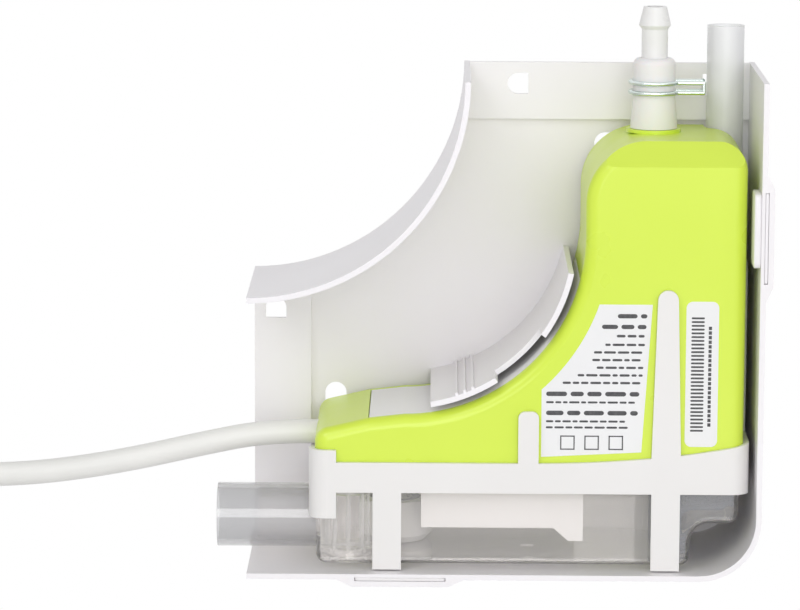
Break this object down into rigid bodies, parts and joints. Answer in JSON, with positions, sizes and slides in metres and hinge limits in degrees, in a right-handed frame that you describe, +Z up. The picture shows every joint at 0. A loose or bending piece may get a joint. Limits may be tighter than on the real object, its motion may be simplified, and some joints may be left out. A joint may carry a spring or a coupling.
{
  "type": "mini condensate pump",
  "caption": "Wall-mounted mini condensate pump: a white elbow tray holds a lime pump casing in a white cradle, with clear tank, float, outlet barb, breather tube and coiled cable.",
  "frame": {"origin": "centre of the tray's back face, on the wall", "axes": "+X right as seen from the room, +Y into the wall, +Z up"},
  "size_m": [0.3288, 0.06, 0.2735],
  "materials": {
    "housing_white": "moulded satin white",
    "shell_lime": "moulded glossy lime",
    "pad_white": "soft white foam",
    "screw_steel": "zinc plated",
    "cradle_white": "moulded satin white",
    "tank_clear": "clear moulded plastic",
    "sleeve_clear": "milky soft plastic",
    "strainer_clear": "clear moulded plastic",
    "filter_foam": "open blue-grey foam",
    "sensor_white": "moulded",
    "board_green": "glass-fibre board",
    "float_white": "foamed",
    "magnet_dark": "sintered",
    "core_steel": "drawn tube",
    "bobbin_black": "moulded",
    "coil_copper": "enamelled copper winding",
    "yoke_steel": "plated strip",
    "fitting_black": "moulded",
    "piston_steel": "ground",
    "spring_steel": "wire",
    "valve_rubber": "soft rubber",
    "mount_rubber": "soft rubber",
    "suction_clear": "clear soft tube",
    "hose_white": "soft white rubber",
    "barb_white": "moulded",
    "breather_clear": "clear soft tube",
    "clip_zinc": "yellowish zinc plate",
    "label_white": "plain sticker",
    "cable_white": "smooth sheath",
    "tie_white": "moulded",
    "core_insulation": "smooth sheath",
    "ferrule_tin": "tinned"
  },
  "bodies": {
    "housing": {"wall_housing": "housing_white", "power_cable": "cable_white", "cable_coil": "cable_white", "cable_tail": "cable_white", "coil_tie": "tie_white", "cable_cores": "core_insulation", "core_ferrules": "ferrule_tin"},
    "pump_unit": {"pump_front_shell": "shell_lime", "curve_pad": "pad_white", "pump_rear_cover": "shell_lime", "cover_screws": "screw_steel", "reservoir_cradle": "cradle_white", "reservoir": "tank_clear", "inlet_sleeve": "sleeve_clear", "inlet_strainer": "strainer_clear", "suction_filter": "filter_foam", "sensor_housing": "sensor_white", "level_sensor_board": "board_green", "core_tube": "core_steel", "solenoid_bobbin": "bobbin_black", "solenoid_coil": "coil_copper", "solenoid_yoke": "yoke_steel", "inlet_fitting": "fitting_black", "valve_seat": "fitting_black", "outlet_head": "fitting_black", "pump_mounts": "mount_rubber", "suction_tube": "suction_clear", "delivery_hose": "hose_white", "barb_adaptor": "barb_white", "breather_tube": "breather_clear", "hose_clip": "clip_zinc", "control_board": "board_green", "rating_label": "label_white", "serial_label": "label_white", "cable_grommet": "cable_white", "piston_spring": "spring_steel", "valve_spring": "spring_steel"},
    "level_float": {"float_body": "float_white", "float_magnet": "magnet_dark"},
    "piston": {"piston": "piston_steel"},
    "valve": {"delivery_valve": "valve_rubber"}
  },
  "joints": [
    {"name": "unit_pull_out", "type": "slide", "parent": "housing", "child": "pump_unit", "axis": [0, -1, 0], "range_m": [0, 0.07]},
    {"name": "float_rise", "type": "slide", "parent": "pump_unit", "child": "level_float", "axis": [0, 0, 1], "range_m": [0, 0.0075]},
    {"name": "piston_stroke", "type": "slide", "parent": "pump_unit", "child": "piston", "axis": [0, 0, 1], "range_m": [-0.003, 0], "stiffness_N_per_m": 800, "springref_m": 0.002, "deforming": ["piston_spring"]},
    {"name": "valve_lift", "type": "slide", "parent": "pump_unit", "child": "valve", "axis": [0, 0, 1], "range_m": [0, 0.0012], "stiffness_N_per_m": 60, "springref_m": -0.001, "deforming": ["valve_spring"]}
  ]
}
